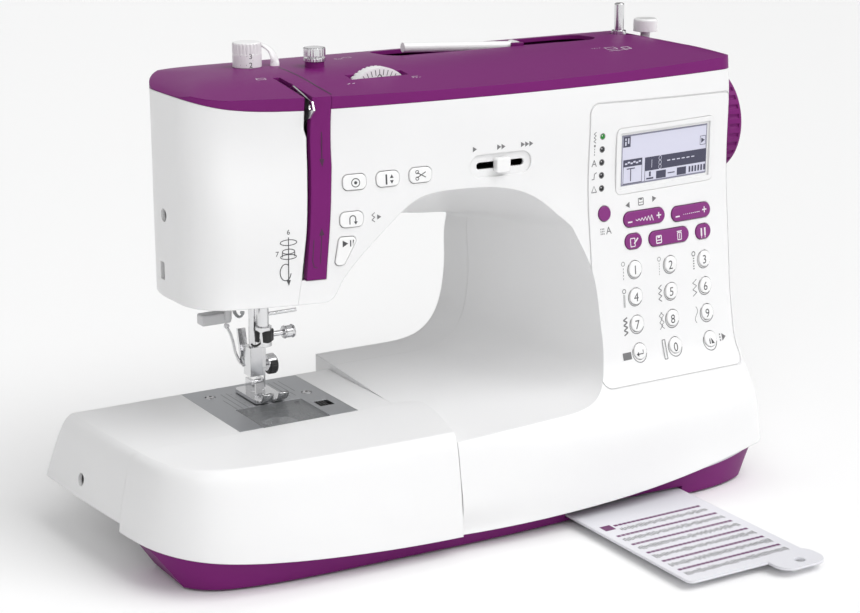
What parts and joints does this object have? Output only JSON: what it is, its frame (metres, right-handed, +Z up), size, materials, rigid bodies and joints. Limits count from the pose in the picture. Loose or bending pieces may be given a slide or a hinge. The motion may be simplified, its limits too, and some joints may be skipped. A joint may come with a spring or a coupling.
{
  "type": "sewing machine",
  "caption": "Computerised free-arm sewing machine with keypad column, throat, needle and presser, slide-off accessory box and pull-out stitch card.",
  "frame": {"origin": "middle of the machine's outline on the surface it stands on, card included", "axes": "+X from the free arm to the handwheel, +Y to the back, +Z up"},
  "size_m": [0.4266, 0.2978, 0.279],
  "materials": {
    "white_plastic": "satin",
    "purple_plastic": "satin",
    "white_key": "satin",
    "steel": "brushed",
    "chrome": "polished",
    "cast_frame": "cast",
    "black_plastic": "matte",
    "grey_plastic": "satin",
    "rubber_feet": "matte",
    "smoky_clear": "clear",
    "screen": "satin",
    "card": "printed"
  },
  "bodies": {
    "machine": {"front_cover": "white_plastic", "rear_cover": "white_plastic", "face_cover": "white_plastic", "top_cover": "purple_plastic", "thread_strip": "purple_plastic", "free_arm_cover": "white_plastic", "base_tray": "purple_plastic", "feet": "rubber_feet", "needle_plate": "steel", "thread_guides": "chrome", "motor": "black_plastic", "chassis": "cast_frame", "display_module": "screen", "power_inlet": "black_plastic"},
    "mode_button": {"mode_button": "purple_plastic"},
    "width_rocker": {"width_rocker": "purple_plastic"},
    "length_rocker": {"length_rocker": "purple_plastic"},
    "edit_key": {"edit_key": "purple_plastic"},
    "memory_rocker": {"memory_rocker": "purple_plastic"},
    "twin_needle_key": {"twin_needle_key": "purple_plastic"},
    "key_1": {"key_1": "white_key"},
    "key_2": {"key_2": "white_key"},
    "key_3": {"key_3": "white_key"},
    "key_4": {"key_4": "white_key"},
    "key_5": {"key_5": "white_key"},
    "key_6": {"key_6": "white_key"},
    "key_7": {"key_7": "white_key"},
    "key_8": {"key_8": "white_key"},
    "key_9": {"key_9": "white_key"},
    "key_enter": {"key_enter": "white_key"},
    "key_0": {"key_0": "white_key"},
    "key_mirror": {"key_mirror": "white_key"},
    "lock_stitch_button": {"lock_stitch_button": "white_key"},
    "needle_position_button": {"needle_position_button": "white_key"},
    "thread_cutter_button": {"thread_cutter_button": "white_key"},
    "reverse_button": {"reverse_button": "white_key"},
    "start_stop_button": {"start_stop_button": "white_key"},
    "main_shaft": {"handwheel": "purple_plastic", "upper_shaft": "steel"},
    "hook": {"hook": "black_plastic"},
    "bobbin": {"bobbin": "smoky_clear"},
    "feed_dog": {"feed_dog": "steel"},
    "needle_bar": {"needle_bar": "chrome"},
    "presser_bar": {"presser_bar": "chrome"},
    "presser_foot": {"presser_foot": "chrome"},
    "presser_lifter": {"presser_lifter": "grey_plastic"},
    "take_up_lever": {"take_up_lever": "chrome"},
    "threader_lever": {"threader_lever": "grey_plastic"},
    "pressure_knob": {"pressure_knob": "white_key"},
    "tension_dial": {"tension_dial": "white_key"},
    "spool_pin": {"spool_pin": "white_key"},
    "winder_spindle": {"winder_spindle": "chrome"},
    "winder_stop": {"winder_stop": "white_key"},
    "bobbin_cover": {"bobbin_cover": "smoky_clear"},
    "cover_release": {"cover_release": "black_plastic"},
    "accessory_box": {"accessory_box": "white_plastic"},
    "stitch_card": {"stitch_card": "card"},
    "carry_handle": {"carry_handle": "purple_plastic"},
    "power_switch": {"power_switch": "black_plastic"},
    "speed_slider": {"speed_slider": "white_key"}
  },
  "joints": [
    {"name": "mode_button_press", "type": "slide", "parent": "machine", "child": "mode_button", "axis": [-0.0496, 0.9944, -0.0928], "range_m": [0, 0.0009], "stiffness_N_per_m": 400},
    {"name": "width_rocker_rock", "type": "hinge", "parent": "machine", "child": "width_rocker", "pos_m": [0.12153, 0.02045, 0.16454], "axis": [-0.0109, 0.1274, 0.9918], "range_deg": [-2.5, 2.5], "stiffness_Nm_per_rad": 0.02},
    {"name": "length_rocker_rock", "type": "hinge", "parent": "machine", "child": "length_rocker", "pos_m": [0.15934, 0.02433, 0.16284], "axis": [-0.0167, 0.1266, 0.9918], "range_deg": [-2.5, 2.5], "stiffness_Nm_per_rad": 0.02},
    {"name": "edit_key_press", "type": "slide", "parent": "machine", "child": "edit_key", "axis": [-0.0742, 0.9857, -0.1515], "range_m": [0, 0.0009], "stiffness_N_per_m": 400},
    {"name": "memory_rocker_rock", "type": "hinge", "parent": "machine", "child": "memory_rocker", "pos_m": [0.14008, 0.02026, 0.15071], "axis": [-0.0163, 0.1453, 0.9893], "range_deg": [-2.5, 2.5], "stiffness_Nm_per_rad": 0.02},
    {"name": "twin_needle_key_press", "type": "slide", "parent": "machine", "child": "twin_needle_key", "axis": [-0.1469, 0.9796, -0.1372], "range_m": [0, 0.0009], "stiffness_N_per_m": 400},
    {"name": "key_1_press", "type": "slide", "parent": "machine", "child": "key_1", "axis": [-0.0767, 0.9921, -0.0993], "range_m": [0, 0.0009], "stiffness_N_per_m": 400},
    {"name": "key_2_press", "type": "slide", "parent": "machine", "child": "key_2", "axis": [-0.1124, 0.9887, -0.0996], "range_m": [0, 0.0009], "stiffness_N_per_m": 400},
    {"name": "key_3_press", "type": "slide", "parent": "machine", "child": "key_3", "axis": [-0.1477, 0.9827, -0.1116], "range_m": [0, 0.0009], "stiffness_N_per_m": 400},
    {"name": "key_4_press", "type": "slide", "parent": "machine", "child": "key_4", "axis": [-0.0789, 0.9914, -0.1045], "range_m": [0, 0.0009], "stiffness_N_per_m": 400},
    {"name": "key_5_press", "type": "slide", "parent": "machine", "child": "key_5", "axis": [-0.1064, 0.9882, -0.1102], "range_m": [0, 0.0009], "stiffness_N_per_m": 400},
    {"name": "key_6_press", "type": "slide", "parent": "machine", "child": "key_6", "axis": [-0.1326, 0.9821, -0.1341], "range_m": [0, 0.0009], "stiffness_N_per_m": 400},
    {"name": "key_7_press", "type": "slide", "parent": "machine", "child": "key_7", "axis": [-0.0823, 0.9861, -0.1445], "range_m": [0, 0.0009], "stiffness_N_per_m": 400},
    {"name": "key_8_press", "type": "slide", "parent": "machine", "child": "key_8", "axis": [-0.0986, 0.9831, -0.1545], "range_m": [0, 0.0009], "stiffness_N_per_m": 400},
    {"name": "key_9_press", "type": "slide", "parent": "machine", "child": "key_9", "axis": [-0.1132, 0.9763, -0.1843], "range_m": [0, 0.0009], "stiffness_N_per_m": 400},
    {"name": "key_enter_press", "type": "slide", "parent": "machine", "child": "key_enter", "axis": [-0.0847, 0.9471, -0.3096], "range_m": [0, 0.0009], "stiffness_N_per_m": 400},
    {"name": "key_0_press", "type": "slide", "parent": "machine", "child": "key_0", "axis": [-0.0899, 0.9418, -0.324], "range_m": [0, 0.0009], "stiffness_N_per_m": 400},
    {"name": "key_mirror_press", "type": "slide", "parent": "machine", "child": "key_mirror", "axis": [-0.0934, 0.931, -0.3529], "range_m": [0, 0.0009], "stiffness_N_per_m": 400},
    {"name": "lock_stitch_button_press", "type": "slide", "parent": "machine", "child": "lock_stitch_button", "axis": [0.1331, 0.9905, -0.0339], "range_m": [0, 0.0009], "stiffness_N_per_m": 400},
    {"name": "needle_position_button_press", "type": "slide", "parent": "machine", "child": "needle_position_button", "axis": [0.1109, 0.9931, -0.0385], "range_m": [0, 0.0009], "stiffness_N_per_m": 400},
    {"name": "thread_cutter_button_press", "type": "slide", "parent": "machine", "child": "thread_cutter_button", "axis": [0.0885, 0.9952, -0.0417], "range_m": [0, 0.0009], "stiffness_N_per_m": 400},
    {"name": "reverse_button_press", "type": "slide", "parent": "machine", "child": "reverse_button", "axis": [0.1389, 0.9892, -0.0456], "range_m": [0, 0.0009], "stiffness_N_per_m": 400},
    {"name": "start_stop_button_press", "type": "slide", "parent": "machine", "child": "start_stop_button", "axis": [0.148, 0.9866, -0.0683], "range_m": [0, 0.0009], "stiffness_N_per_m": 400},
    {"name": "main_shaft_turn", "type": "hinge", "parent": "machine", "child": "main_shaft", "pos_m": [0.1913, 0.0751, 0.208], "axis": [1, 0, 0], "continuous": true},
    {"name": "hook_turn", "type": "hinge", "parent": "machine", "child": "hook", "pos_m": [-0.0977, 0.0651, 0.05], "axis": [0, 0, 1], "continuous": true},
    {"name": "bobbin_turn", "type": "hinge", "parent": "machine", "child": "bobbin", "pos_m": [-0.0977, 0.0651, 0.055], "axis": [0, 0, 1], "continuous": true},
    {"name": "feed_dog_slide", "type": "slide", "parent": "machine", "child": "feed_dog", "axis": [0, 1, 0], "range_m": [-0.0013, 0.0013]},
    {"name": "needle_bar_slide", "type": "slide", "parent": "machine", "child": "needle_bar", "axis": [0, 0, 1], "range_m": [-0.028, 0.003]},
    {"name": "presser_bar_slide", "type": "slide", "parent": "machine", "child": "presser_bar", "axis": [0, 0, 1], "range_m": [0, 0.006]},
    {"name": "presser_foot_turn", "type": "hinge", "parent": "presser_bar", "child": "presser_foot", "pos_m": [-0.0948, 0.1026, 0.0756], "axis": [1, 0, 0], "range_deg": [-3, 1]},
    {"name": "presser_lifter_turn", "type": "hinge", "parent": "machine", "child": "presser_lifter", "pos_m": [-0.0827, 0.1221, 0.158], "axis": [0, 1, 0], "range_deg": [-8, 8]},
    {"name": "take_up_lever_turn", "type": "hinge", "parent": "machine", "child": "take_up_lever", "pos_m": [-0.0942, 0.0731, 0.216], "axis": [1, 0, 0], "range_deg": [0, 30]},
    {"name": "threader_lever_slide", "type": "slide", "parent": "machine", "child": "threader_lever", "axis": [0, 0, -1], "range_m": [0, 0.02]},
    {"name": "pressure_knob_turn", "type": "hinge", "parent": "machine", "child": "pressure_knob", "pos_m": [-0.0948, 0.1031, 0.262], "axis": [0, 0, 1], "range_deg": [-150, 150]},
    {"name": "tension_dial_turn", "type": "hinge", "parent": "machine", "child": "tension_dial", "pos_m": [-0.0382, 0.0561, 0.241], "axis": [0, 1, 0], "range_deg": [-160, 160]},
    {"name": "spool_pin_turn", "type": "hinge", "parent": "machine", "child": "spool_pin", "pos_m": [0.0823, 0.1011, 0.2594], "axis": [0.0808, 0.9967, 0], "range_deg": [0, 70]},
    {"name": "winder_spindle_slide", "type": "slide", "parent": "machine", "child": "winder_spindle", "axis": [1, 0, 0], "range_m": [0, 0.0055]},
    {"name": "winder_stop_turn", "type": "hinge", "parent": "machine", "child": "winder_stop", "pos_m": [0.1873, 0.1091, 0.262], "axis": [0, 0, 1], "range_deg": [-90, 90]},
    {"name": "bobbin_cover_slide", "type": "slide", "parent": "machine", "child": "bobbin_cover", "axis": [0, 0, 1], "range_m": [0, 0.03]},
    {"name": "cover_release_slide", "type": "slide", "parent": "machine", "child": "cover_release", "axis": [1, 0, 0], "range_m": [0, 0.0022], "stiffness_N_per_m": 300},
    {"name": "accessory_box_slide", "type": "slide", "parent": "machine", "child": "accessory_box", "axis": [-1, 0, 0], "range_m": [0, 0.15]},
    {"name": "stitch_card_slide", "type": "slide", "parent": "machine", "child": "stitch_card", "axis": [0, 1, 0], "range_m": [0, 0.1]},
    {"name": "carry_handle_turn", "type": "hinge", "parent": "machine", "child": "carry_handle", "pos_m": [0.0813, 0.1454, 0.246], "axis": [1, 0, 0], "range_deg": [0, 150]},
    {"name": "power_switch_turn", "type": "hinge", "parent": "machine", "child": "power_switch", "pos_m": [0.1903, 0.0951, 0.084], "axis": [0, 1, 0], "range_deg": [-6, 6]},
    {"name": "speed_slider_slide", "type": "slide", "parent": "machine", "child": "speed_slider", "axis": [-0.9995, 0.0306, 0], "range_m": [-0.0125, 0.0125]}
  ]
}
